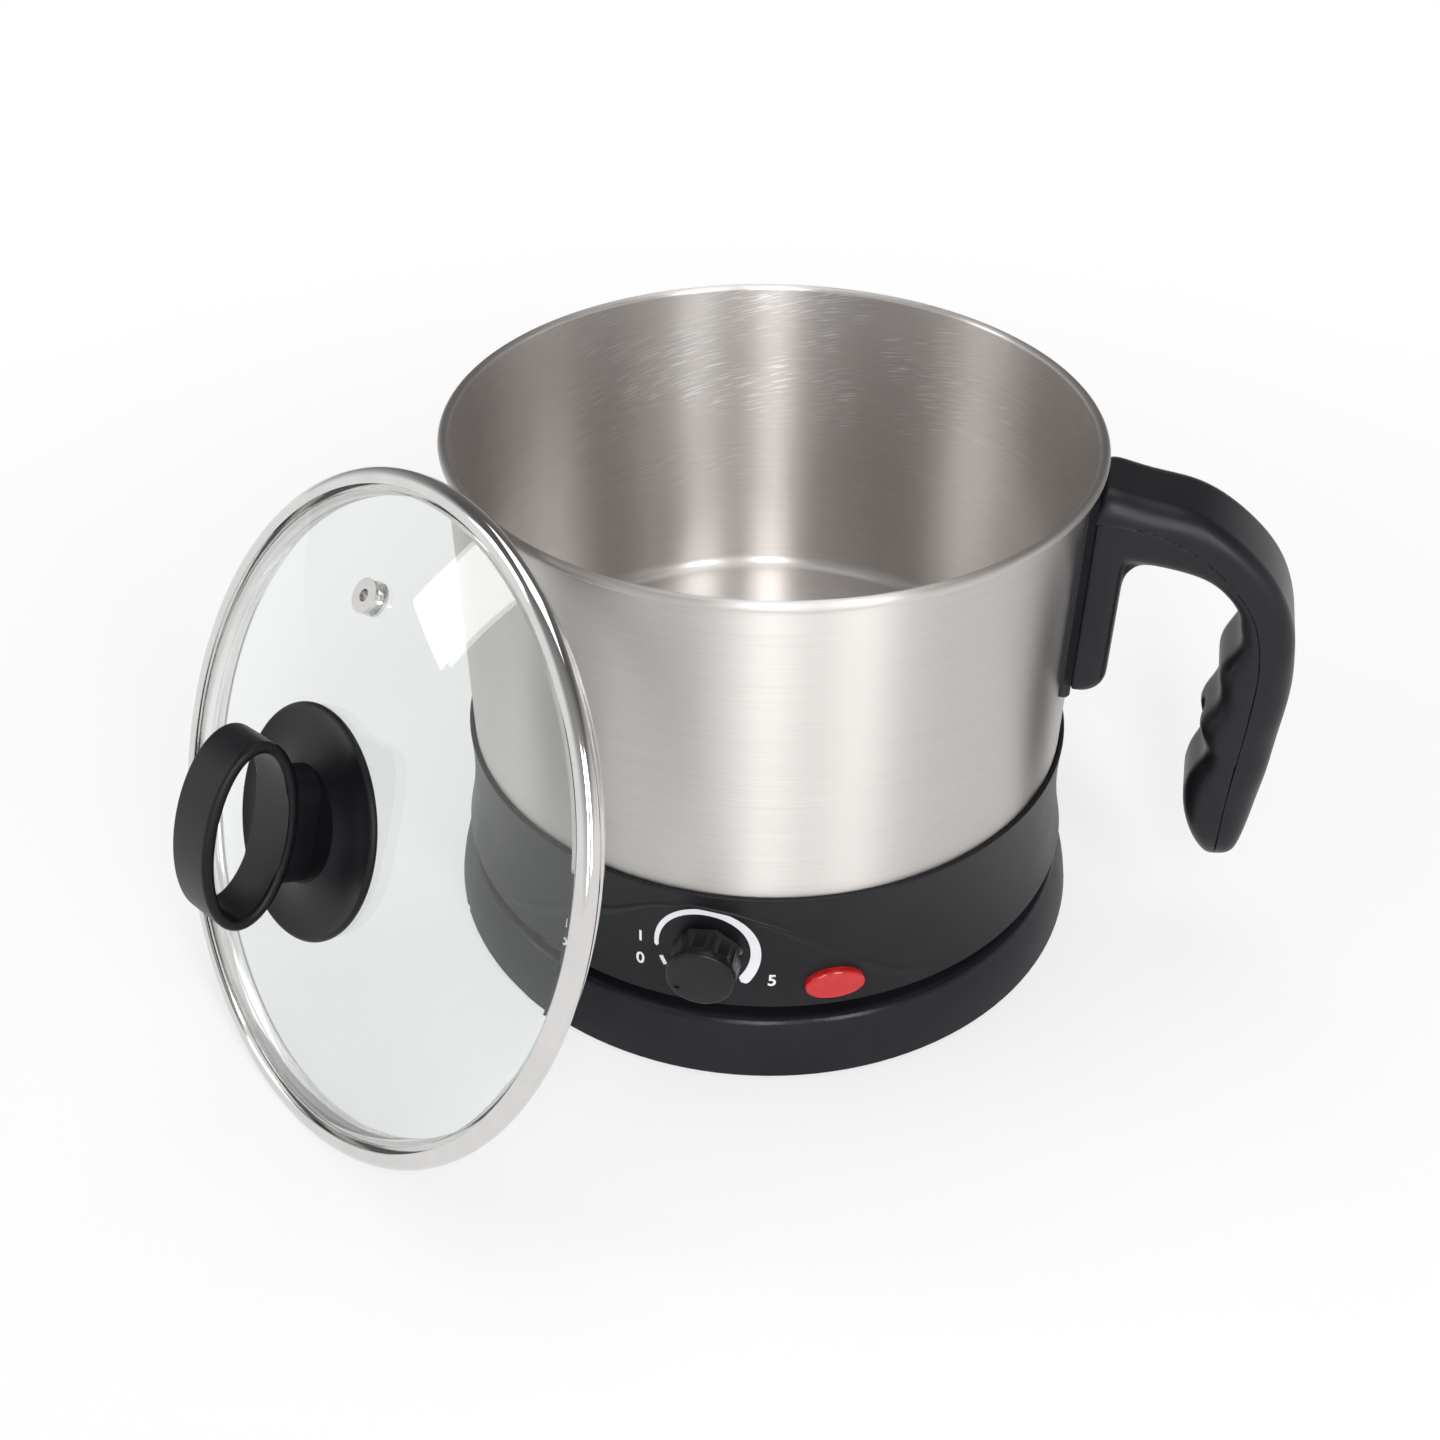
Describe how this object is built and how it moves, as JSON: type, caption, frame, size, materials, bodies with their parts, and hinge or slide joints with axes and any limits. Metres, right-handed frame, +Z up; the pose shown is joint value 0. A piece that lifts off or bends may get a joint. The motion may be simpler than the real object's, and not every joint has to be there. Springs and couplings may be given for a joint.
{
  "type": "electric pasta cooker",
  "caption": "Small electric pasta cooker: a steel pot with a hook handle and a dial in its black collar, set on a round power base, with a domed glass lid leaning on its rim.",
  "frame": {"origin": "on the pot's axis, at the floor under the feet", "axes": "+Z up, +X from the pot's axis to its handle, -Y to the dial and the lens"},
  "size_m": [0.2831, 0.2424, 0.1519],
  "materials": {
    "base_plastic": "satin",
    "collar_plastic": "satin",
    "handle_plastic": "satin",
    "knob_plastic": "semi-gloss",
    "connector_plastic": "matte",
    "foot_rubber": "matte",
    "gland_rubber": "matte",
    "seal_rubber": "matte",
    "pot_steel": "brushed round",
    "band_steel": "polished",
    "element_steel": "drawn",
    "zinc_steel": "zinc plated",
    "spreader_aluminium": "mill finish",
    "cutout_aluminium": "mill finish",
    "contact_brass": "turned",
    "lid_glass": "clear",
    "lamp_glass": "clear",
    "lens_red": "gloss",
    "print_white": "printed ink"
  },
  "bodies": {
    "power_base": {"base_top_cover": "base_plastic", "base_bottom_plate": "base_plastic", "base_feet": "foot_rubber", "base_screws": "zinc_steel", "cord_gland": "gland_rubber", "base_connector": "connector_plastic", "base_contacts": "contact_brass"},
    "pot": {"pot_shell": "pot_steel", "heat_spreader": "spreader_aluminium", "heating_element": "element_steel", "thermal_cutout": "cutout_aluminium", "pot_seal": "seal_rubber", "pot_studs": "zinc_steel", "stud_nuts": "zinc_steel", "collar": "collar_plastic", "collar_tray": "collar_plastic", "tray_screws": "zinc_steel", "pot_connector": "connector_plastic", "pot_contacts": "contact_brass", "thermostat_plate": "zinc_steel", "thermostat_body": "connector_plastic", "thermostat_screws": "zinc_steel", "indicator_lens": "lens_red", "indicator_lamp": "lamp_glass", "handle_inner": "handle_plastic", "handle_outer": "handle_plastic", "handle_screws": "zinc_steel", "handle_bracket": "handle_plastic", "handle_anchor": "element_steel", "handle_nuts": "zinc_steel"},
    "dial": {"control_knob": "knob_plastic", "thermostat_shaft": "zinc_steel"},
    "lid": {"lid_glass": "lid_glass", "lid_band": "band_steel", "lid_vent": "band_steel", "lid_skirt": "knob_plastic", "lid_loop": "knob_plastic", "lid_washer": "seal_rubber", "lid_screw": "zinc_steel"}
  },
  "joints": [
    {"name": "pot_lift", "type": "slide", "parent": "power_base", "child": "pot", "axis": [0, 0, 1], "range_m": [0, 0.1]},
    {"name": "dial_turn", "type": "hinge", "parent": "pot", "child": "dial", "pos_m": [0, 0, 0.0395], "axis": [-0.0523, 0.9986, 0], "range_deg": [0, 255]},
    {"name": "lid_lift", "type": "slide", "parent": "power_base", "child": "lid", "axis": [0, 0, 1], "range_m": [0, 0.16]}
  ]
}
